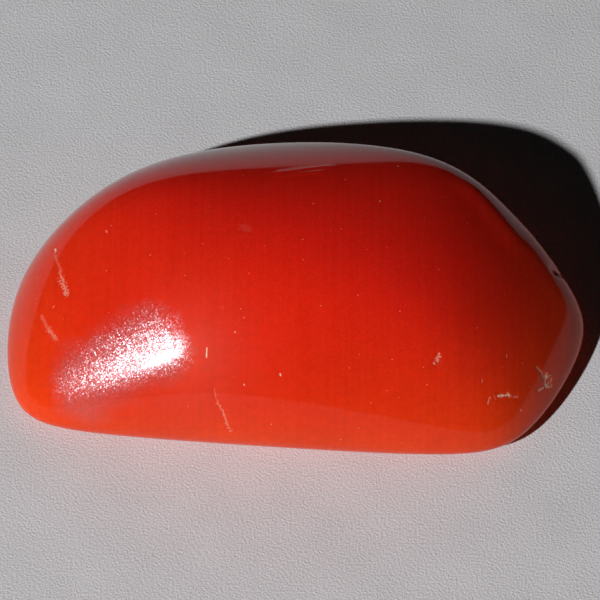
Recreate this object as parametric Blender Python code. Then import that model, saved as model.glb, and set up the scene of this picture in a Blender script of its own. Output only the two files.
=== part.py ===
"""A polished piece of red coral, ground and tumbled from one length of branch.

Run it with blender --background --python part.py, or from the text editor.
Units are metres with +Z up. The piece lies on its flat underside, with its
length along X and the middle of its underside's box at the origin.
"""

import bmesh
import bpy
import numpy as np

OBJECT_NAME = "polished_red_coral"
NODE_NAME = "polished_coral"

MM = 0.001

# The form is what grinding leaves: one flat for each side that was cut, all
# melted together by tumbling. A flat has a turn, in degrees round the upright
# from +X, and a tilt, in degrees from straight up. Its reach is how far it
# stands from the middle of the form, in mm, and its softness is how far, in
# mm, it melts into its neighbours.
#    name                     turn  tilt  reach  softness
FLATS = (
    ("crown",                  -85,   15,   4.3,  3.0),
    ("front face",             -85,   55,   4.1,  0.6),
    ("belly",                  -95,   85,   6.0,  2.5),
    ("lower belly",            -95,   95,   6.5,  0.6),
    ("left end",               180,   70,  11.5,  0.8),
    ("left shoulder",         -155,   35,   5.4,  1.0),
    ("back left corner",       140,   75,  11.6,  1.6),
    ("back shoulder",           90,   35,   5.6,  2.3),
    ("back",                    95,   65,   9.5,  1.0),
    ("back right underside",    60,  115,  10.0,  0.5),
    ("right shoulder",          10,   50,   8.3,  1.2),
    ("right front shoulder",   -25,   45,   6.8,  1.4),
    ("right end",              -30,   70,   9.7,  0.7),
)

# The underside is cut level below the middle of the form. Its own flat runs a
# little lower, so that the cut stays level up to its softened edge.
UNDERSIDE_DEPTH = 4.9
UNDERSIDE_EXTRA = 0.15
UNDERSIDE_SOFTNESS = 0.5

# The mesh grows from a cube stretched to the rough size of the piece, so that
# its cells spread evenly over the long body. Its points move along rays from
# the heart of the body, given in mm from the middle of the form.
CUBE_CUTS = 25
ROUGH_LENGTH = 25.0
ROUGH_WIDTH = 15.0
HEART = (-0.2, 2.4, -1.4)
NEWTON_STEPS = 14

CORAL_RED = (0.60, 0.035, 0.012, 1.0)
CORAL_ROUGHNESS = 0.18


def clear_scene():
    """Remove every object, so that the file holds only this piece."""
    for item in list(bpy.data.objects):
        bpy.data.objects.remove(item, do_unlink=True)


def unit_rows(vectors):
    """Return the vectors, one in each row, with their lengths made one."""
    return vectors / np.linalg.norm(vectors, axis=1, keepdims=True)


def ground_flats():
    """Return each flat's direction, reach and softness, the underside's last."""
    turn, tilt, reach, softness = np.array([flat[1:] for flat in FLATS], dtype=float).T
    turn = np.radians(turn)
    tilt = np.radians(tilt)
    sides = np.stack([np.sin(tilt) * np.cos(turn), np.sin(tilt) * np.sin(turn), np.cos(tilt)], axis=1)
    directions = np.vstack([sides, (0.0, 0.0, -1.0)])
    reach = np.append(reach, UNDERSIDE_DEPTH + UNDERSIDE_EXTRA)
    softness = np.append(softness, UNDERSIDE_SOFTNESS)
    return directions, reach, softness


def distance_to_surface(start, rays):
    """Return how far the surface is from an inner point along unit rays, in mm.

    Each flat adds exp((height along its direction - reach) / softness), and
    the surface is where these add up to one. The logarithm of the sum curves
    upwards along a ray, so Newton's method from outside closes in on it.
    """
    directions, reach, softness = ground_flats()
    slope = rays @ directions.T / softness
    offset = (reach - directions @ np.asarray(start)) / softness
    just_facing = 1e-9
    distance = np.min(offset / np.maximum(slope, just_facing), axis=1)
    for _ in range(NEWTON_STEPS):
        terms = np.exp(slope * distance[:, None] - offset)
        total = terms.sum(axis=1)
        distance -= np.log(total) * total / (terms * slope).sum(axis=1)
    return distance


def shape_points(cube_points):
    """Move points of a cube from -1 to 1 onto the coral's surface, in mm.

    The stretched cube's level slices first take the shape of the underside's
    rim, so that its lower edge lies on that rim. Each point above the
    underside then moves along its ray from the heart to the surface.
    """
    half_size = (ROUGH_LENGTH / 2.0, ROUGH_WIDTH / 2.0, UNDERSIDE_DEPTH + HEART[2])
    box = cube_points * half_size
    around = np.arctan2(box[:, 1], box[:, 0])
    level = np.stack([np.cos(around), np.sin(around), np.zeros_like(around)], axis=1)
    box_rim = 1.0 / np.max(abs(level[:, :2]) / half_size[:2], axis=1)
    coral_rim = distance_to_surface((HEART[0], HEART[1], -UNDERSIDE_DEPTH), level)
    box[:, :2] *= (coral_rim / box_rim)[:, None]

    rays = unit_rows(box)
    onto_surface = rays * distance_to_surface(HEART, rays)[:, None]
    on_underside = cube_points[:, 2:] <= -1.0
    points = np.where(on_underside, box, onto_surface)
    points[:, 2] += half_size[2]
    points[:, :2] -= (points[:, :2].min(axis=0) + points[:, :2].max(axis=0)) / 2.0
    return points


def coral_material():
    """Return the polished red surface."""
    material = bpy.data.materials.new("polished red coral")
    material.use_nodes = True
    shader = material.node_tree.nodes["Principled BSDF"]
    shader.inputs["Base Color"].default_value = CORAL_RED
    shader.inputs["Roughness"].default_value = CORAL_ROUGHNESS
    shader.inputs["Metallic"].default_value = 0.0
    return material


def add_coral(collection):
    """Build the one solid: a finely cut cube whose points lie on the form."""
    shape = bmesh.new()
    bmesh.ops.create_cube(shape, size=2.0)
    bmesh.ops.subdivide_edges(shape, edges=shape.edges[:], cuts=CUBE_CUTS, use_grid_fill=True)
    mesh = bpy.data.meshes.new(NODE_NAME)
    shape.to_mesh(mesh)
    shape.free()

    cube_points = np.empty(len(mesh.vertices) * 3)
    mesh.vertices.foreach_get("co", cube_points)
    points = shape_points(cube_points.reshape(-1, 3)) * MM
    mesh.vertices.foreach_set("co", points.ravel())
    mesh.update()
    mesh.shade_smooth()

    coral = bpy.data.objects.new(NODE_NAME, mesh)
    mesh.materials.append(coral_material())
    collection.objects.link(coral)


def main():
    clear_scene()
    collection = bpy.data.collections.new(OBJECT_NAME)
    bpy.context.scene.collection.children.link(collection)
    add_coral(collection)


main()
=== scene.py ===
"""Dresses the polished piece of red coral and lays it on a plain pale sheet.

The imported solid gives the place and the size. This file gives the looks: the
worked surface with its pits, hairline cracks and growth lines, the red body
with its waxy gloss, and a stage with one studio lamp and the camera. It is
laid out as an add-on and runs as a script.
"""

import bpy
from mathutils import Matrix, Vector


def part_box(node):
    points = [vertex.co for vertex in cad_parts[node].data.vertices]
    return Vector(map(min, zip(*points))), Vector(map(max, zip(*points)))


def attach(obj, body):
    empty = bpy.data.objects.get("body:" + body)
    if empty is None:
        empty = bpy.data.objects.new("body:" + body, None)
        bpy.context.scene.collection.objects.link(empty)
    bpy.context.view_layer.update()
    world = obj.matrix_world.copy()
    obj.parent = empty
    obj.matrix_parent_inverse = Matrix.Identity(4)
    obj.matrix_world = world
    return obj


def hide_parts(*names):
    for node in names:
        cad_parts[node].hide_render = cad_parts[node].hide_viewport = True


bl_info = {
    "name": "Polished Red Coral",
    "version": (1, 0, 0),
    "blender": (4, 5, 0),
    "location": "3D View > Sidebar > Coral",
    "description": "Builds the surface of a polished piece of red coral, and a plain stage for it",
    "category": "Add Mesh",
}

import math

import bpy
import numpy as np
from mathutils import Vector

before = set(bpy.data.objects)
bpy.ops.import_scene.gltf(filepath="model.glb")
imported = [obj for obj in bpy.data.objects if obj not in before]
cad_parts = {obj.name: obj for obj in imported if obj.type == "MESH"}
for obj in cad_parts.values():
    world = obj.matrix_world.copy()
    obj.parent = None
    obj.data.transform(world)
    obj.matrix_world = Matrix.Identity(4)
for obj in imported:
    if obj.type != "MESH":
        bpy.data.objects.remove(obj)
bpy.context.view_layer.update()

NODE = "polished_coral"
BODY = "root"
SURFACE = "coral_surface"
MARK_AWAY = "mark_away"
MARK_ALONG = "mark_along"
MARK_LOOK = "mark_look"
COARSE_REACH = "coarse_reach"
GLOSS_HALO_REACH = "gloss_halo_reach"

MM = 0.001

# The form is what grinding leaves: one flat for each side that was cut, all
# melted together by tumbling. A flat has a turn, in degrees round the upright
# from +X, and a tilt, in degrees from straight up. Its reach is how far it
# stands from the middle of the form, in mm, and its softness is how far, in
# mm, it melts into its neighbours.
#    name                     turn  tilt  reach  softness
FLATS = (
    ("crown",                  -85,   15,   4.3,  3.0),
    ("front face",             -85,   55,   4.1,  0.6),
    ("belly",                  -95,   85,   6.0,  2.5),
    ("lower belly",            -95,   95,   6.5,  0.6),
    ("left end",               180,   70,  11.5,  0.8),
    ("left shoulder",         -155,   35,   5.4,  1.0),
    ("back left corner",       140,   75,  11.6,  1.6),
    ("back shoulder",           90,   35,   5.6,  2.3),
    ("back",                    95,   65,   9.5,  1.0),
    ("back right underside",    60,  115,  10.0,  0.5),
    ("right shoulder",          10,   50,   8.3,  1.2),
    ("right front shoulder",   -25,   45,   6.8,  1.4),
    ("right end",              -30,   70,   9.7,  0.7),
)
UNDERSIDE_DEPTH = 4.9
UNDERSIDE_EXTRA = 0.15
UNDERSIDE_SOFTNESS = 0.5

# The surface grows from a box round the heart of the body, as the solid does.
ROUGH_HALF_SIZE = (12.5, 7.5, 3.5)
HEART = (-0.2, 2.4, -1.4)
NEWTON_STEPS = 20
PLACING_CELLS = (100, 60, 24)

# A ray from the camera starts this far before the middle of the form, in mm.
CLEAR_OF_FORM = 20.0

# A mark sinks in from a worn lip round it, this wide in mm.
MARK_LIP = 0.08

# The material draws a mark on the cells whose corners lie this near its edge, in mm.
MARK_REACH = 0.17

# Marks on the surface are placed as the camera sees them: mm to the right of
# the middle of the form, and mm above it, across the line of sight. Each is a
# round-ended stroke from one place to another. Its tone runs from 1, chalky,
# to -1, painted shade inside an open pit, and its raggedness from 0, whole, to 1, broken up.
#    name                      from             to               radius  depth  tone  raggedness
MARKS = (
    ("left rim pit",           (-10.69, 2.23),  (-10.64, 2.15),  0.060,  0.05,  1.0,  0.3),
    ("left streak",            (-10.67, 1.96),  (-10.39, 1.26),  0.090,  0.01,  0.15, 0.5),
    ("left rough patch top",   (-10.48, 1.20),  (-10.37, 0.96),  0.050,  0.02,  0.3,  0.7),
    ("left rough patch",       (-10.36, 0.91),  (-10.16, 0.26),  0.120,  0.05,  0.4,  1.0),
    ("left rough patch side",  (-10.53, 0.82),  (-10.41, 0.87),  0.050,  0.03,  0.4,  0.4),
    ("left small mark",        (-10.75, -0.33), (-10.70, -0.26), 0.040,  0.02,  0.35, 0.2),
    ("lower left streak",      (-11.24, -0.70), (-10.98, -1.22), 0.110,  0.01,  0.15, 0.5),
    ("lower left patch",       (-10.95, -1.30), (-10.62, -1.70), 0.110,  0.03,  0.27, 1.0),
    ("front crack top",        (-3.73, -3.87),  (-3.64, -4.39),  0.035,  0.02,  0.2,  0.8),
    ("front crack middle",     (-3.62, -4.46),  (-3.37, -4.74),  0.040,  0.02,  0.3,  0.7),
    ("front crack foot",       (-3.38, -4.78),  (-3.22, -5.30),  0.055,  0.02,  0.35, 0.9),
    ("front crack end",        (-3.22, -5.30),  (-3.02, -5.69),  0.065,  0.02,  0.3,  1.0),
    ("tick by the gloss",      (-4.05, -2.10),  (-4.07, -2.49),  0.038,  0.01,  1.0,  0.2),
    ("dot right of the gloss", (-2.84, -1.39),  (-2.83, -1.41),  0.040,  0.02,  0.7,  0.0),
    ("dot above it",           (-2.43, -0.76),  (-2.43, -0.78),  0.035,  0.01,  0.4,  0.0),
    ("dot below it",           (-2.43, -3.67),  (-2.43, -3.70),  0.040,  0.02,  0.8,  0.0),
    ("front dot",              (-0.86, -3.22),  (-0.85, -3.29),  0.042,  0.02,  0.9,  0.0),
    ("front low dot",          (-1.25, -5.40),  (-1.25, -5.41),  0.035,  0.01,  0.6,  0.0),
    ("front right dot",        (1.76, -6.08),   (1.78, -6.09),   0.035,  0.01,  0.5,  0.0),
    ("ring pit",               (5.97, -2.65),   (6.03, -2.43),   0.110,  0.06,  0.45, 0.8),
    ("ring pit dot",           (5.81, -2.75),   (5.86, -2.79),   0.045,  0.03,  0.5,  0.0),
    ("dot below the ring",     (5.53, -3.68),   (5.53, -3.70),   0.032,  0.01,  0.35, 0.0),
    ("star chip arm",          (10.32, -2.93),  (10.63, -3.26),  0.035,  0.03,  0.8,  0.4),
    ("star chip body",         (10.63, -3.29),  (10.73, -3.78),  0.080,  0.04,  1.0,  0.5),
    ("star chip short arm",    (10.77, -3.17),  (10.72, -3.34),  0.030,  0.02,  0.9,  0.0),
    ("star chip loop",         (10.94, -3.41),  (10.91, -3.76),  0.070,  0.02,  0.6,  1.0),
    ("star chip foot",         (10.66, -3.76),  (10.38, -3.96),  0.050,  0.03,  0.9,  0.4),
    ("pit row start",          (8.26, -4.24),   (8.17, -4.50),   0.045,  0.03,  0.4,  0.5),
    ("pit row",                (8.65, -4.17),   (9.11, -4.14),   0.065,  0.05,  1.0,  1.0),
    ("pit row end",            (9.30, -4.21),   (9.48, -4.22),   0.050,  0.02,  0.35, 0.7),
    ("below the row",          (9.62, -4.77),   (9.62, -4.83),   0.038,  0.02,  0.5,  0.0),
    ("small pale dash",        (7.93, -3.46),   (7.93, -3.59),   0.035,  0.02,  0.25, 0.2),
    ("small arc",              (9.00, -2.39),   (9.00, -2.50),   0.035,  0.02,  0.35, 0.4),
    ("ridge pit",              (11.02, 1.20),   (11.17, 1.12),   0.110,  0.20,  -1.0, 0.1),
    ("speck on the shoulder",  (4.26, 5.83),    (4.26, 5.82),    0.038,  0.01,  1.0,  0.0),
    ("speck left of it",       (1.96, 5.24),    (1.96, 5.23),    0.030,  0.01,  0.5,  0.0),
    ("speck on the crown",     (3.47, 4.31),    (3.47, 4.29),    0.036,  0.01,  1.0,  0.0),
    ("speck by the crown",     (0.56, 4.20),    (0.57, 4.19),    0.030,  0.01,  0.5,  0.0),
    ("speck on the left",      (-6.53, 1.96),   (-6.53, 1.95),   0.030,  0.01,  0.5,  0.0),
    ("mark on the left",       (-8.44, 3.02),   (-8.40, 2.94),   0.045,  0.01,  0.4,  0.2),
    ("cloudy spot",            (-2.52, 3.17),   (-2.26, 3.09),   0.200,  0.00,  0.05, 0.6),
)

# The left end is less finely polished, round this line.
COARSE_LINE = ((-9.35, -3.50), (-6.75, -2.15))

# A painted highlight, a pale halo standing for the gloss's wide tail, lies round this place, at the
# right of the coarse end.
GLOSS_HALO_PLACE = (-4.70, -2.30)

# What the wheel left besides the flats: two low ridges on the back shoulder,
# which each catch a streak of the sheet's light, and a crest and a fuller
# slope to the right, with a notch in the slope.
#    name            from           to             width  height
SWELLS = (
    ("upper ridge",  (-0.90, 5.55), (1.30, 5.82),  0.16,  0.020),
    ("lower ridge",  (-0.85, 5.40), (0.90, 5.60),  0.16,  0.020),
    ("back crest",   (7.60, 4.80),  (9.10, 3.00),  0.80,  0.080),
    ("right slope",  (10.20, 2.40), (11.70, 0.20), 1.30,  0.080),
    ("right notch",  (11.05, 1.30), (11.30, 1.20), 0.24, -0.110),
)


class CoralFormSettings(bpy.types.PropertyGroup):
    """Sizes of the coral's surface."""

    cells: bpy.props.IntVectorProperty(
        name="Cells", description="Cells of the surface along the length, the width and the height",
        default=(250, 160, 64), size=3, min=8)
    relief: bpy.props.FloatProperty(
        name="Relief", description="Depth of the pits, cracks and ridges, as a share of the real one",
        default=1.0, min=0.0, soft_max=3.0, subtype="FACTOR")
    growth_line_gap: bpy.props.FloatProperty(
        name="Growth line gap", description="Distance between the fine growth lines",
        default=0.4 * MM, min=0.0, unit="LENGTH", precision=5)
    grain_size: bpy.props.FloatProperty(
        name="Grain size", description="Size of the fine facets that scatter the gloss of the left end",
        default=0.04 * MM, min=0.0, unit="LENGTH", precision=5)
    grain_tilt: bpy.props.FloatProperty(
        name="Grain tilt", description="The most that a fine facet leans away from the surface",
        default=math.radians(8.0), min=0.0, subtype="ANGLE")
    grain_lean: bpy.props.FloatProperty(
        name="Grain lean", description="How far the fine facets lean forwards, as the wheel left them",
        default=math.radians(6.5), subtype="ANGLE")


class CoralColourSettings(bpy.types.PropertyGroup):
    """Colours, as sRGB hex values."""

    body: bpy.props.StringProperty(
        name="Body", description="The warm red of the front and the left end", default="#F2290D")
    # Painted shade: the cooler red tints the back right, the side turned from the lamp.
    shaded_side_crimson: bpy.props.StringProperty(
        name="Crimson", description="The cooler red towards the back right", default="#F21F10")
    thin: bpy.props.StringProperty(
        # Painted light: the orange stands for lamp light shining through the thin lower edge.
        name="Thin", description="The orange red of the thin lower edge", default="#F6470E")
    deep: bpy.props.StringProperty(
        name="Deep", description="The darker red of growth lines, clouds and dull facets",
        default="#B01A0A")
    # Painted shade for the inside of an open pit.
    pit_shade: bpy.props.StringProperty(
        name="Hollow", description="The dark inside of an open pit", default="#2A0806")
    # The pale tone also paints a highlight halo beside the gloss.
    pale: bpy.props.StringProperty(
        name="Pale", description="The chalky tone of pits, cracks and haze", default="#FFC8A4")
    sheet: bpy.props.StringProperty(
        name="Sheet", description="The pale sheet that the piece lies on", default="#EEEBE3")
    fibre: bpy.props.StringProperty(
        name="Fibre", description="The darker grain of the sheet", default="#BFBCB6")
    lamp: bpy.props.StringProperty(
        name="Lamp", description="The lamp's cool light", default="#F2F4FF")
    room: bpy.props.StringProperty(
        name="Room", description="The cool light of the room, which fills the shadow", default="#B0F4FF")


class CoralStageSettings(bpy.types.PropertyGroup):
    """The sheet, the lamp and the camera."""

    camera_elevation: bpy.props.FloatProperty(
        name="Camera elevation", description="How far the camera looks down", default=math.radians(54.0),
        subtype="ANGLE")
    camera_distance: bpy.props.FloatProperty(
        name="Camera distance", description="Distance from the camera to the middle of the form",
        default=250.0 * MM, unit="LENGTH")
    picture_width: bpy.props.FloatProperty(
        name="Picture width", description="Width that the picture takes in at the middle of the form",
        default=26.1 * MM, unit="LENGTH")
    lamp_turn: bpy.props.FloatProperty(
        name="Lamp turn", description="Direction of the lamp round the upright, from +X",
        default=math.radians(-131.0), subtype="ANGLE")
    lamp_elevation: bpy.props.FloatProperty(
        name="Lamp elevation", description="Height of the lamp above the sheet",
        default=math.radians(35.5), subtype="ANGLE")
    lamp_distance: bpy.props.FloatProperty(
        name="Lamp distance", description="Distance from the lamp to the coral", default=600.0 * MM,
        unit="LENGTH")
    lamp_width: bpy.props.FloatProperty(
        name="Lamp width", description="Width of the round lamp", default=22.0 * MM, unit="LENGTH")
    lamp_power: bpy.props.FloatProperty(
        name="Lamp power", description="Power of the lamp", default=3.75, unit="POWER")
    room_light: bpy.props.FloatProperty(
        name="Room light", description="Brightness of the dim room round the stage",
        default=0.005, min=0.0)
    sheet_size: bpy.props.FloatProperty(
        name="Sheet size", description="Width of the square sheet", default=180.0 * MM, unit="LENGTH")


def unit_rows(vectors):
    """Return the vectors, one in each row, with their lengths made one."""
    return vectors / np.linalg.norm(vectors, axis=-1, keepdims=True)


def ground_flats():
    """Return each flat's direction, reach and softness, the underside's last."""
    turn, tilt, reach, softness = np.array([flat[1:] for flat in FLATS], dtype=float).T
    turn = np.radians(turn)
    tilt = np.radians(tilt)
    sides = np.stack([np.sin(tilt) * np.cos(turn), np.sin(tilt) * np.sin(turn), np.cos(tilt)], axis=1)
    directions = np.vstack([sides, (0.0, 0.0, -1.0)])
    reach = np.append(reach, UNDERSIDE_DEPTH + UNDERSIDE_EXTRA)
    softness = np.append(softness, UNDERSIDE_SOFTNESS)
    return directions, reach, softness


def melt_flats(points):
    """Return how far outside the form each point is, and the way out.

    Each flat adds exp((height along its direction - reach) / softness). The
    first value is the logarithm of the sum, which is nought on the surface,
    and the second is its gradient.
    """
    directions, reach, softness = ground_flats()
    load = (points @ directions.T - reach) / softness
    peak = load.max(axis=-1, keepdims=True)
    share = np.exp(load - peak)
    total = share.sum(axis=-1, keepdims=True)
    outside = (peak + np.log(total))[..., 0]
    way_out = (share / total / softness) @ directions
    return outside, way_out


def meet_surface(starts, rays, distance):
    """Move from outside along each ray to the form, by Newton's method on melt_flats."""
    for _ in range(NEWTON_STEPS):
        outside, way_out = melt_flats(starts + rays * distance[:, None])
        distance = distance - outside / (way_out * rays).sum(axis=-1)
    return starts + rays * distance[:, None]


def from_inside(start, rays):
    """Return where unit rays from an inner point leave the form.

    The nearest flat that a ray meets bounds it from outside: the distance is
    (reach - height of the start) / slope, the least over the flats it faces.
    """
    directions, reach, softness = ground_flats()
    slope = rays @ directions.T
    just_facing = 1e-9
    distance = np.min((reach - directions @ np.asarray(start)) / np.maximum(slope, just_facing), axis=1)
    return meet_surface(np.asarray(start, dtype=float), rays, distance)


def box_lattice(cells):
    """Return a box's points from -1 to 1, its outward quads, and the loop of its lowest edge.

    A face is a grid of two whole-number steps. Points that two faces share
    have the same three steps, and are one point. The bottom is left open.
    """
    cells = np.array(cells)
    corners = []
    for axis in range(3):
        across = (axis + 1) % 3
        along = (axis + 2) % 3
        a, b = np.meshgrid(np.arange(cells[across]), np.arange(cells[along]), indexing="ij")
        for side in (0, 1):
            if axis == 2 and side == 0:
                continue
            ring = ((0, 0), (1, 0), (1, 1), (0, 1)) if side else ((0, 0), (0, 1), (1, 1), (1, 0))
            quads = np.empty((a.size, 4, 3), dtype=int)
            quads[:, :, axis] = side * cells[axis]
            for corner, (step_across, step_along) in enumerate(ring):
                quads[:, corner, across] = a.ravel() + step_across
                quads[:, corner, along] = b.ravel() + step_along
            corners.append(quads)
    steps, index = np.unique(np.concatenate(corners).reshape(-1, 3), axis=0, return_inverse=True)
    points = 2.0 * steps / cells - 1.0
    rim = np.flatnonzero(steps[:, 2] == 0)
    rim = rim[np.argsort(-np.arctan2(points[rim, 1], points[rim, 0]))]
    return points, index.reshape(-1, 4), rim


def lay_on_form(box_points):
    """Move a box's points onto the form, in mm from its middle.

    Each level slice of the box takes the shape of the underside's rim, so that
    its lowest edge lies on that rim. Each point then moves along its ray from
    the heart to the surface, and the lowest edge stays where it is.
    """
    box = box_points * ROUGH_HALF_SIZE
    around = np.arctan2(box[:, 1], box[:, 0])
    level = np.stack([np.cos(around), np.sin(around), np.zeros_like(around)], axis=1)
    box_rim = 1.0 / np.max(abs(level[:, :2]) / ROUGH_HALF_SIZE[:2], axis=1)
    under_heart = np.array((HEART[0], HEART[1], -UNDERSIDE_DEPTH))
    coral_rim = np.linalg.norm(from_inside(under_heart, level) - under_heart, axis=1)
    box[:, :2] *= (coral_rim / box_rim)[:, None]
    on_surface = from_inside(HEART, unit_rows(box))
    return np.where(box_points[:, 2:] <= -1.0, box + HEART, on_surface)


def middle_of_form():
    """Return the place of the form's middle in the frame, in mm.

    The form's box is centred on the solid's, and its underside on the
    solid's underside.
    """
    points = lay_on_form(box_lattice(PLACING_CELLS)[0])
    low, high = (np.array(corner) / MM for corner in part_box(NODE))
    middle = (low + high) / 2.0 - (points.min(axis=0) + points.max(axis=0)) / 2.0
    middle[2] = low[2] + UNDERSIDE_DEPTH
    return middle


def sight_axes(stage):
    """Return the directions to the camera and up the picture."""
    elevation = stage.camera_elevation
    to_camera = np.array((0.0, -math.cos(elevation), math.sin(elevation)))
    picture_up = np.array((0.0, math.sin(elevation), math.cos(elevation)))
    return to_camera, picture_up


def seen_at(stage, places):
    """Return the points of the form that the camera sees at places (right, up), in mm."""
    to_camera, picture_up = sight_axes(stage)
    eye = to_camera * stage.camera_distance / MM
    places = np.atleast_2d(np.array(places, dtype=float))
    aims = places[:, :1] * (1.0, 0.0, 0.0) + places[:, 1:] * picture_up
    rays = unit_rows(aims - eye)
    starts = aims - rays * CLEAR_OF_FORM
    return meet_surface(starts, rays, np.zeros(len(places)))


def reach_to_stroke(points, start, stroke):
    """Return each point's distance to a stroke, in mm.

    The nearest place on it is start + t stroke, with t the share of the way
    along, held between 0 and 1.
    """
    share = np.clip((points - start) @ stroke / (stroke @ stroke), 0.0, 1.0)
    return np.linalg.norm(points - start - share[:, None] * stroke, axis=1)


def relief(stage, points):
    """Return how far each point is pushed out, in mm.

    A mark is (1 - (distance / reach) squared) squared deep inside its reach,
    which is its radius and a worn lip. A swell is exp(-(distance / width)
    squared) of its height.
    """
    push = np.zeros(len(points))
    for _, start, end, radius, depth, _, _ in MARKS:
        start, end = seen_at(stage, (start, end))
        gap = reach_to_stroke(points, start, end - start)
        push -= depth * np.clip(1.0 - (gap / (radius + MARK_LIP)) ** 2, 0.0, 1.0) ** 2
    for _, start, end, width, height in SWELLS:
        start, end = seen_at(stage, (start, end))
        gap = reach_to_stroke(points, start, end - start)
        push += height * np.exp(-(gap / width) ** 2)
    return push


def nearest_marks(stage, points):
    """Return what the material draws each point's nearest mark from.

    These are the way from the mark's start, the mark's stroke, and its radius,
    tone and raggedness. They give a finer line than the cells of the surface.
    Points out of reach of every mark get noughts.
    """
    nearest = np.full(len(points), MARK_REACH)
    away = np.zeros((len(points), 3))
    along = np.zeros((len(points), 3))
    look = np.zeros((len(points), 3))
    for _, start, end, radius, _, tone, raggedness in MARKS:
        start, end = seen_at(stage, (start, end))
        gap = reach_to_stroke(points, start, end - start) - radius
        near = gap < nearest
        nearest[near] = gap[near]
        away[near] = points[near] - start
        along[near] = end - start
        look[near] = (radius, tone, raggedness)
    return away, along, look


def reach_to_coarse_polish(stage, points):
    """Return each point's distance to the line along the coarsely polished end, in mm."""
    start, end = seen_at(stage, COARSE_LINE)
    return reach_to_stroke(points, start, end - start)


def reach_to_gloss_halo(stage, points):
    """Return each point's distance to the painted highlight halo beside the coarse polish, in mm."""
    return np.linalg.norm(points - seen_at(stage, GLOSS_HALO_PLACE), axis=1)


def fill_mesh(mesh, points, quads, rim):
    """Put the quads and the one flat underside into the mesh."""
    mesh.vertices.add(len(points))
    mesh.vertices.foreach_set("co", (points * MM).astype(np.float32).ravel())
    corners = np.concatenate([quads.ravel(), rim])
    mesh.loops.add(len(corners))
    mesh.loops.foreach_set("vertex_index", corners)
    mesh.polygons.add(len(quads) + 1)
    mesh.polygons.foreach_set("loop_start", np.arange(0, len(quads) * 4 + 1, 4))
    smooth = np.ones(len(quads) + 1, dtype=bool)
    smooth[-1] = False
    mesh.polygons.foreach_set("use_smooth", smooth)
    mesh.update(calc_edges=True)
    if mesh.validate():
        raise RuntimeError("the coral's surface has faults that Blender had to mend")


def store_on_points(mesh, name, values):
    """Keep one number or one vector for each point of the mesh, for the material to read."""
    kind, field = ("FLOAT", "value") if values.ndim == 1 else ("FLOAT_VECTOR", "vector")
    data = mesh.attributes.new(name, kind, "POINT").data
    data.foreach_set(field, values.astype(np.float32).ravel())


def to_linear(hex_colour):
    """Turn an sRGB hex value into a linear colour with alpha."""
    parts = [int(hex_colour[i:i + 2], 16) / 255.0 for i in (1, 3, 5)]
    linear = [c / 12.92 if c <= 0.04045 else ((c + 0.055) / 1.055) ** 2.4 for c in parts]
    return (*linear, 1.0)


def socket(node, name):
    """Return the input with this number or name that the node shows at its settings."""
    if isinstance(name, int):
        return node.inputs[name]
    return next(item for item in node.inputs if item.name == name and item.enabled)


def add_node(tree, kind, links=None, **settings):
    """Add a node, set its properties and sockets, and link its inputs.

    A setting that is a property of the node is set on the node, inputs_1 is
    the input socket with the number 1, and any other is the input socket of
    that name, with spaces for underscores. links maps input names or numbers
    to output sockets.
    """
    node = tree.nodes.new(kind)
    for name, value in settings.items():
        if name.startswith("inputs_"):
            node.inputs[int(name.removeprefix("inputs_"))].default_value = value
        elif hasattr(node, name):
            setattr(node, name, value)
        else:
            socket(node, name.replace("_", " ")).default_value = value
    for name, output in (links or {}).items():
        tree.links.new(output, socket(node, name))
    return node


def mark_inking(tree, place):
    """Return the tone of the mark at each place: above nought chalky, below nought painted pit shade.

    The way from the mark's start, less its stroke times the share of the way
    along, is the way across the mark. Its length over the radius is nought on
    the stroke and one at the mark's edge, which a fine noise breaks up.
    """
    away = add_node(tree, "ShaderNodeAttribute", attribute_name=MARK_AWAY).outputs["Vector"]
    along = add_node(tree, "ShaderNodeAttribute", attribute_name=MARK_ALONG).outputs["Vector"]
    look = add_node(tree, "ShaderNodeAttribute", attribute_name=MARK_LOOK).outputs["Vector"]
    radius, tone, raggedness = add_node(tree, "ShaderNodeSeparateXYZ", {"Vector": look}).outputs
    run = add_node(tree, "ShaderNodeVectorMath", {0: away, 1: along}, operation="DOT_PRODUCT")
    square = add_node(tree, "ShaderNodeVectorMath", {0: along, 1: along}, operation="DOT_PRODUCT")
    share = add_node(
        tree, "ShaderNodeMath", {0: run.outputs["Value"], 1: square.outputs["Value"]},
        operation="DIVIDE", use_clamp=True)
    nearest = add_node(
        tree, "ShaderNodeVectorMath", {0: along, "Scale": share.outputs["Value"]}, operation="SCALE")
    across = add_node(
        tree, "ShaderNodeVectorMath", {0: away, 1: nearest.outputs["Vector"]}, operation="SUBTRACT")
    gap = add_node(tree, "ShaderNodeVectorMath", {0: across.outputs["Vector"]}, operation="LENGTH")
    ratio = add_node(tree, "ShaderNodeMath", {0: gap.outputs["Value"], 1: radius}, operation="DIVIDE")

    crumb_size = 0.09 * MM
    crumbs = add_node(tree, "ShaderNodeTexNoise", {"Vector": place}, Scale=1.0 / crumb_size, Detail=1.0)
    crumbling = add_node(
        tree, "ShaderNodeMapRange", {"Value": crumbs.outputs["Fac"]},
        From_Min=0.3, From_Max=0.7, To_Min=-1.0, To_Max=1.0)
    broken = add_node(
        tree, "ShaderNodeMath", {0: crumbling.outputs["Result"], 1: raggedness}, operation="MULTIPLY")
    edge = add_node(
        tree, "ShaderNodeMath", {0: ratio.outputs["Value"], 1: broken.outputs["Value"]},
        operation="SUBTRACT")
    cover = add_node(
        tree, "ShaderNodeMapRange", {"Value": edge.outputs["Value"]},
        From_Min=0.5, From_Max=1.0, To_Min=1.0, To_Max=0.0)
    inking = add_node(
        tree, "ShaderNodeMath", {0: cover.outputs["Result"], 1: tone}, operation="MULTIPLY")
    return inking.outputs["Value"]


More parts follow.
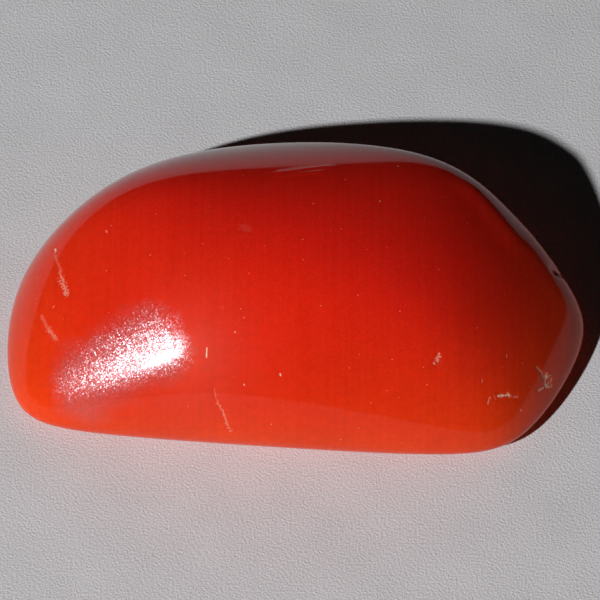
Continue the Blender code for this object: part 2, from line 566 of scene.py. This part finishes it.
def coarse_polish(tree, place):
    """Return how coarse the polish is: one along the left end, fading out at its wandering edge."""
    reach = add_node(tree, "ShaderNodeAttribute", attribute_name=COARSE_REACH).outputs["Fac"]
    wander_size = 1.5 * MM
    wander = add_node(tree, "ShaderNodeTexNoise", {"Vector": place}, Scale=1.0 / wander_size, Detail=2.0)
    wandering = add_node(
        tree, "ShaderNodeMapRange", {"Value": wander.outputs["Fac"]},
        From_Min=0.3, From_Max=0.7, To_Min=-0.3 * MM, To_Max=0.3 * MM)
    edge = add_node(
        tree, "ShaderNodeMath", {0: reach, 1: wandering.outputs["Result"]}, operation="ADD")
    share = add_node(
        tree, "ShaderNodeMapRange", {"Value": edge.outputs["Value"]}, interpolation_type="SMOOTHSTEP",
        From_Min=0.9 * MM, From_Max=2.3 * MM, To_Min=1.0, To_Max=0.0)
    return share.outputs["Result"]


def gloss_halo_share(tree):
    """Return the share of the painted highlight halo: 0.10 (1 - distance / 6 mm) cubed beside the coarse
    end.
    """
    reach = add_node(tree, "ShaderNodeAttribute", attribute_name=GLOSS_HALO_REACH).outputs["Fac"]
    nearness = add_node(
        tree, "ShaderNodeMapRange", {"Value": reach},
        From_Min=0.0, From_Max=6.0 * MM, To_Min=1.0, To_Max=0.0)
    cubed = add_node(
        tree, "ShaderNodeMath", {0: nearness.outputs["Result"]}, operation="POWER", inputs_1=3.0)
    share = add_node(
        tree, "ShaderNodeMath", {0: cubed.outputs["Value"]}, operation="MULTIPLY", inputs_1=0.10)
    return share.outputs["Value"]


def facet_normal(tree, facet, form):
    """Return the skin's normal, leaning forwards and another way on each fine facet."""
    centred = add_node(
        tree, "ShaderNodeVectorMath", {0: facet}, operation="SUBTRACT", inputs_1=(0.5, 0.5, 0.5))
    tilted = add_node(
        tree, "ShaderNodeVectorMath", {0: centred.outputs["Vector"]}, operation="SCALE",
        Scale=2.0 * math.sin(form.grain_tilt))
    skin = add_node(tree, "ShaderNodeNewGeometry").outputs["Normal"]
    forwards = add_node(
        tree, "ShaderNodeVectorMath", {0: skin}, operation="ADD",
        inputs_1=(0.0, -math.sin(form.grain_lean), 0.0))
    leaning = add_node(
        tree, "ShaderNodeVectorMath", {0: forwards.outputs["Vector"], 1: tilted.outputs["Vector"]},
        operation="ADD")
    return leaning.outputs["Vector"]


def zoned_red(tree, place, colours):
    """Return the coral's red: a warm red, painted shade towards the back right, and a painted glow low
    down.

    The cooler red is painted shade: it rises along one direction through the
    piece, towards the back right, which is turned from the lamp. Low down the
    piece is thin and light comes through, so the orange, a painted glow of that
    light, rises with the square of the depth below the crown.
    """
    # The cooler red is painted shade, rising away from the lamp.
    towards_back_right = (0.35, 0.76, 0.55)
    backwards = add_node(
        tree, "ShaderNodeVectorMath", {0: place}, operation="DOT_PRODUCT", inputs_1=towards_back_right)
    shaded_tint_share = add_node(
        tree, "ShaderNodeMapRange", {"Value": backwards.outputs["Value"]},
        From_Min=-0.3 * MM, From_Max=3.5 * MM, To_Min=0.0, To_Max=1.0)
    red = add_node(
        tree, "ShaderNodeMix", {"Factor": shaded_tint_share.outputs["Result"]}, data_type="RGBA",
        A=to_linear(colours.body), B=to_linear(colours.shaded_side_crimson))

    # The orange is a painted glow of light shining through the thin lower edge.
    height = add_node(tree, "ShaderNodeSeparateXYZ", {"Vector": place}).outputs["Z"]
    below_crown = add_node(
        tree, "ShaderNodeMapRange", {"Value": height},
        From_Min=1.4 * MM, From_Max=7.0 * MM, To_Min=1.0, To_Max=0.0)
    thin_edge_glow_share = add_node(
        tree, "ShaderNodeMath", {0: below_crown.outputs["Result"]}, operation="POWER", inputs_1=2.0)
    zoned = add_node(
        tree, "ShaderNodeMix", {"Factor": thin_edge_glow_share.outputs["Value"], "A": red.outputs["Result"]},
        data_type="RGBA", B=to_linear(colours.thin))
    return zoned.outputs["Result"]


def growth_lines(tree, place, form):
    """Return a noise drawn out into upright lines, which lie close together along the length.

    A wave of the noise is about twice as long as its cell.
    """
    line_run = 9.0 * MM
    line_place = add_node(
        tree, "ShaderNodeMapping", {"Vector": place},
        Scale=(2.0 / form.growth_line_gap, 1.0 / line_run, 1.0 / line_run))
    lines = add_node(
        tree, "ShaderNodeTexNoise", {"Vector": line_place.outputs["Vector"]}, Scale=1.0, Detail=1.0)
    return lines.outputs["Fac"]


def deep_share(tree, place, lines, facet, coarse_share):
    """Return the share of the deeper red: clouds, growth lines, a fine mottling and dull facets."""
    cloud_size = 5.0 * MM
    clouds = add_node(tree, "ShaderNodeTexNoise", {"Vector": place}, Scale=1.0 / cloud_size, Detail=3.0)
    cloud_share = add_node(
        tree, "ShaderNodeMapRange", {"Value": clouds.outputs["Fac"]},
        From_Min=0.35, From_Max=0.65, To_Min=0.0, To_Max=0.16)
    line_share = add_node(
        tree, "ShaderNodeMapRange", {"Value": lines},
        From_Min=0.35, From_Max=0.65, To_Min=0.0, To_Max=0.05)
    mottle_size = 0.3 * MM
    mottle = add_node(tree, "ShaderNodeTexNoise", {"Vector": place}, Scale=1.0 / mottle_size, Detail=3.0)
    mottle_share = add_node(
        tree, "ShaderNodeMapRange", {"Value": mottle.outputs["Fac"]},
        From_Min=0.3, From_Max=0.7, To_Min=0.0, To_Max=0.14)

    facet_kind = add_node(tree, "ShaderNodeSeparateXYZ", {"Vector": facet}).outputs["X"]
    facet_dulness = add_node(
        tree, "ShaderNodeMapRange", {"Value": facet_kind},
        From_Min=0.0, From_Max=1.0, To_Min=0.0, To_Max=0.6)
    dull_share = add_node(
        tree, "ShaderNodeMath", {0: facet_dulness.outputs["Result"], 1: coarse_share},
        operation="MULTIPLY")
    total = dull_share.outputs["Value"]
    for share in (cloud_share, line_share, mottle_share):
        added = add_node(
            tree, "ShaderNodeMath", {0: total, 1: share.outputs["Result"]},
            operation="ADD", use_clamp=True)
        total = added.outputs["Value"]
    return total


def chalk_and_halo_share(tree, place, lines):
    """Return the share of pale tone between the marks: chalky specks, a fine grain, pale lines, and a
    painted highlight halo.
    """
    speck_gap = 0.7 * MM
    specks = add_node(tree, "ShaderNodeTexVoronoi", {"Vector": place}, Scale=1.0 / speck_gap)
    speck_share = add_node(
        tree, "ShaderNodeMapRange", {"Value": specks.outputs["Distance"]},
        From_Min=0.025, From_Max=0.05, To_Min=0.4, To_Max=0.0)
    grain_size = 0.07 * MM
    grain = add_node(tree, "ShaderNodeTexNoise", {"Vector": place}, Scale=1.0 / grain_size, Detail=1.0)
    grain_share = add_node(
        tree, "ShaderNodeMapRange", {"Value": grain.outputs["Fac"]},
        From_Min=0.55, From_Max=0.8, To_Min=0.0, To_Max=0.04)
    larger = add_node(
        tree, "ShaderNodeMath", {0: speck_share.outputs["Result"], 1: grain_share.outputs["Result"]},
        operation="MAXIMUM")
    line_share = add_node(
        tree, "ShaderNodeMapRange", {"Value": lines},
        From_Min=0.35, From_Max=0.65, To_Min=0.004, To_Max=0.0)
    total = larger.outputs["Value"]
    # The halo's share is a painted highlight, the gloss's wide tail.
    for share in (gloss_halo_share(tree), line_share.outputs["Result"]):
        added = add_node(tree, "ShaderNodeMath", {0: total, 1: share}, operation="ADD")
        total = added.outputs["Value"]
    return total


def coral_material(form, colours):
    """Precious red coral, ground and tumbled to a waxy polish.

    The eye gets a deep, slightly see-into red with a painted cooler tint of shade on the back right and
    a painted orange glow of light through the thin lower edge, faint upright growth lines, chalky pits
    with painted shade inside the open ones, a painted pale halo of highlight beside the gloss, a sharp
    gloss from the polished skin, and a wide grainy sparkle where the polish is coarser.
    """
    material = bpy.data.materials.new("polished precious coral")
    material.use_nodes = True
    tree = material.node_tree
    shader = tree.nodes["Principled BSDF"]
    place = add_node(tree, "ShaderNodeTexCoord").outputs["Object"]
    lines = growth_lines(tree, place, form)
    coarse_share = coarse_polish(tree, place)
    facets = add_node(tree, "ShaderNodeTexVoronoi", {"Vector": place}, Scale=1.0 / form.grain_size)
    facet = facets.outputs["Color"]

    darker = deep_share(tree, place, lines, facet, coarse_share)
    red = add_node(
        tree, "ShaderNodeMix", {"Factor": darker, "A": zoned_red(tree, place, colours)},
        data_type="RGBA", B=to_linear(colours.deep))

    # An open pit gets painted shade inside, and the other marks are chalky.
    inking = mark_inking(tree, place)
    pit_shade_share = add_node(
        tree, "ShaderNodeMath", {0: inking}, operation="MULTIPLY", use_clamp=True, inputs_1=-1.0)
    pit_shaded = add_node(
        tree, "ShaderNodeMix", {"Factor": pit_shade_share.outputs["Value"], "A": red.outputs["Result"]},
        data_type="RGBA", B=to_linear(colours.pit_shade))
    pale_share = add_node(
        tree, "ShaderNodeMath", {0: inking, 1: chalk_and_halo_share(tree, place, lines)}, operation="MAXIMUM")
    colour = add_node(
        tree, "ShaderNodeMix", {"Factor": pale_share.outputs["Value"], "A": pit_shaded.outputs["Result"]},
        data_type="RGBA", B=to_linear(colours.pale))

    # The left end is less finely polished: its skin is broken into facets a few hundredths
    # of a millimetre across, drawn as coarse as they need to show. The coat stands for them,
    # and its high IOR for the many facets that each gather the lamp's light.
    skin_roughness = add_node(
        tree, "ShaderNodeMapRange", {"Value": coarse_share},
        From_Min=0.0, From_Max=1.0, To_Min=0.08, To_Max=0.165)
    chalk_and_halo_roughness = add_node(
        tree, "ShaderNodeMapRange", {"Value": pale_share.outputs["Value"]},
        From_Min=0.0, From_Max=1.0, To_Min=0.0, To_Max=0.6)
    roughness = add_node(
        tree, "ShaderNodeMath",
        {0: skin_roughness.outputs["Result"], 1: chalk_and_halo_roughness.outputs["Result"]},
        operation="MAXIMUM")

    tree.links.new(colour.outputs["Result"], shader.inputs["Base Color"])
    tree.links.new(roughness.outputs["Value"], shader.inputs["Roughness"])
    tree.links.new(coarse_share, shader.inputs["Coat Weight"])
    tree.links.new(facet_normal(tree, facet, form), shader.inputs["Coat Normal"])
    shader.inputs["IOR"].default_value = 1.5
    shader.inputs["Specular IOR Level"].default_value = 0.225
    shader.inputs["Subsurface Weight"].default_value = 0.6
    shader.inputs["Subsurface Radius"].default_value = (1.0, 0.25, 0.12)
    shader.inputs["Subsurface Scale"].default_value = 1.0 * MM
    shader.inputs["Coat Roughness"].default_value = 0.3
    shader.inputs["Coat IOR"].default_value = 2.0
    return material


def sheet_material(colours):
    """Matt drawing paper: pale, dry and faintly cloudy, with a fine tooth and darker fibres."""
    material = bpy.data.materials.new("matt drawing paper")
    material.use_nodes = True
    tree = material.node_tree
    shader = tree.nodes["Principled BSDF"]
    place = add_node(tree, "ShaderNodeTexCoord").outputs["Object"]

    # Fibres show as a fine dark grain, and the paper's making leaves it a little cloudy.
    fibre_size = 0.06 * MM
    fibres = add_node(tree, "ShaderNodeTexNoise", {"Vector": place}, Scale=1.0 / fibre_size, Detail=2.0)
    fibre_share = add_node(
        tree, "ShaderNodeMapRange", {"Value": fibres.outputs["Fac"]},
        From_Min=0.3, From_Max=0.7, To_Min=-0.2, To_Max=0.6)
    cloud_size = 3.0 * MM
    clouds = add_node(tree, "ShaderNodeTexNoise", {"Vector": place}, Scale=1.0 / cloud_size, Detail=3.0)
    cloud_share = add_node(
        tree, "ShaderNodeMapRange", {"Value": clouds.outputs["Fac"]},
        From_Min=0.3, From_Max=0.7, To_Min=-0.06, To_Max=0.1)
    fibrous_share = add_node(
        tree, "ShaderNodeMath", {0: fibre_share.outputs["Result"], 1: cloud_share.outputs["Result"]},
        operation="ADD", use_clamp=True)
    grey = add_node(
        tree, "ShaderNodeMix", {"Factor": fibrous_share.outputs["Value"]}, data_type="RGBA",
        A=to_linear(colours.sheet), B=to_linear(colours.fibre))

    tooth_size = 0.11 * MM
    tooth = add_node(tree, "ShaderNodeTexNoise", {"Vector": place}, Scale=1.0 / tooth_size, Detail=2.0)
    bump = add_node(
        tree, "ShaderNodeBump", {"Height": tooth.outputs["Fac"]}, Strength=1.0, Distance=0.04 * MM)
    tree.links.new(grey.outputs["Result"], shader.inputs["Base Color"])
    tree.links.new(bump.outputs["Normal"], shader.inputs["Normal"])
    shader.inputs["Roughness"].default_value = 0.95
    shader.inputs["Specular IOR Level"].default_value = 0.2
    return material


def link_object(name, data):
    """Put an object with this data into the scene, and return it."""
    item = bpy.data.objects.new(name, data)
    bpy.context.scene.collection.objects.link(item)
    return item


def lay_sheet(stage, colours):
    """Lay the square pale sheet under the coral."""
    half = stage.sheet_size / 2.0
    corners = [(-half, -half, 0.0), (half, -half, 0.0), (half, half, 0.0), (-half, half, 0.0)]
    mesh = bpy.data.meshes.new("sheet")
    mesh.from_pydata(corners, [], [(0, 1, 2, 3)])
    mesh.materials.append(sheet_material(colours))
    link_object("sheet", mesh)


def hang_lamp(stage, colours, middle):
    """Hang the round lamp at its turn and elevation, facing the middle of the form."""
    lamp_data = bpy.data.lights.new("studio lamp", "AREA")
    lamp_data.shape = "DISK"
    lamp_data.size = stage.lamp_width
    lamp_data.energy = stage.lamp_power
    lamp_data.color = to_linear(colours.lamp)[:3]
    lamp = link_object("studio lamp", lamp_data)
    to_lamp = Vector((
        math.cos(stage.lamp_elevation) * math.cos(stage.lamp_turn),
        math.cos(stage.lamp_elevation) * math.sin(stage.lamp_turn),
        math.sin(stage.lamp_elevation)))
    lamp.location = middle + to_lamp * stage.lamp_distance
    lamp.rotation_euler = to_lamp.to_track_quat("Z", "Y").to_euler()


def light_room(stage, colours):
    """Light the stage a little from all round, as a dim room does."""
    room = bpy.data.worlds.new("dim room")
    room.use_nodes = True
    background = room.node_tree.nodes["Background"]
    background.inputs["Color"].default_value = to_linear(colours.room)
    background.inputs["Strength"].default_value = stage.room_light
    bpy.context.scene.world = room


def set_camera(stage, middle):
    """Set the camera at its elevation and distance, with a lens that takes in the picture's width."""
    camera_data = bpy.data.cameras.new("camera")
    camera_data.lens = camera_data.sensor_width * stage.camera_distance / stage.picture_width
    camera_data.clip_start = 10.0 * MM
    camera = link_object("camera", camera_data)
    to_camera = Vector(sight_axes(stage)[0])
    camera.location = middle + to_camera * stage.camera_distance
    camera.rotation_euler = to_camera.to_track_quat("Z", "Y").to_euler()
    bpy.context.scene.camera = camera


class CORAL_OT_surface(bpy.types.Operator):
    """Build the coral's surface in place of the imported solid"""

    bl_idname = "coral.surface"
    bl_label = "Add the coral"

    def execute(self, context):
        form = context.scene.coral_form
        stage = context.scene.coral_stage
        box_points, quads, rim = box_lattice(form.cells)
        smooth = lay_on_form(box_points)
        outward = unit_rows(melt_flats(smooth)[1])
        push = relief(stage, smooth) * form.relief
        points = smooth + outward * push[:, None] + middle_of_form()

        mesh = bpy.data.meshes.new(SURFACE)
        fill_mesh(mesh, points, quads, rim)
        away, along, look = nearest_marks(stage, smooth)
        store_on_points(mesh, MARK_AWAY, away * MM)
        store_on_points(mesh, MARK_ALONG, along * MM)
        store_on_points(mesh, MARK_LOOK, look * (MM, 1.0, 1.0))
        store_on_points(mesh, COARSE_REACH, reach_to_coarse_polish(stage, smooth) * MM)
        store_on_points(mesh, GLOSS_HALO_REACH, reach_to_gloss_halo(stage, smooth) * MM)
        mesh.materials.append(coral_material(form, context.scene.coral_colours))

        coral = link_object(SURFACE, mesh)
        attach(coral, BODY)
        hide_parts(NODE)
        return {"FINISHED"}


class CORAL_OT_stage(bpy.types.Operator):
    """Lay out the pale sheet, the lamp, the dim room and the camera"""

    bl_idname = "coral.stage"
    bl_label = "Add the stage"

    def execute(self, context):
        stage = context.scene.coral_stage
        colours = context.scene.coral_colours
        middle = Vector(middle_of_form() * MM)
        lay_sheet(stage, colours)
        hang_lamp(stage, colours, middle)
        light_room(stage, colours)
        set_camera(stage, middle)
        context.scene.view_settings.view_transform = "Standard"
        return {"FINISHED"}


class CORAL_PT_panel(bpy.types.Panel):
    """The coral's sizes, colours and stage, with a button for each step"""

    bl_idname = "CORAL_PT_panel"
    bl_label = "Polished red coral"
    bl_space_type = "VIEW_3D"
    bl_region_type = "UI"
    bl_category = "Coral"

    def draw(self, context):
        for settings, operator in (
                (context.scene.coral_form, CORAL_OT_surface),
                (context.scene.coral_colours, None),
                (context.scene.coral_stage, CORAL_OT_stage)):
            box = self.layout.box()
            for name in settings.__annotations__:
                box.prop(settings, name)
            if operator:
                box.operator(operator.bl_idname)


CLASSES = (
    CoralFormSettings,
    CoralColourSettings,
    CoralStageSettings,
    CORAL_OT_surface,
    CORAL_OT_stage,
    CORAL_PT_panel,
)


def register():
    for item in CLASSES:
        bpy.utils.register_class(item)
    bpy.types.Scene.coral_form = bpy.props.PointerProperty(type=CoralFormSettings)
    bpy.types.Scene.coral_colours = bpy.props.PointerProperty(type=CoralColourSettings)
    bpy.types.Scene.coral_stage = bpy.props.PointerProperty(type=CoralStageSettings)


def unregister():
    del bpy.types.Scene.coral_stage
    del bpy.types.Scene.coral_colours
    del bpy.types.Scene.coral_form
    for item in reversed(CLASSES):
        bpy.utils.unregister_class(item)


def main():
    register()
    bpy.ops.coral.surface()
    bpy.ops.coral.stage()


if __name__ == "__main__":
    main()
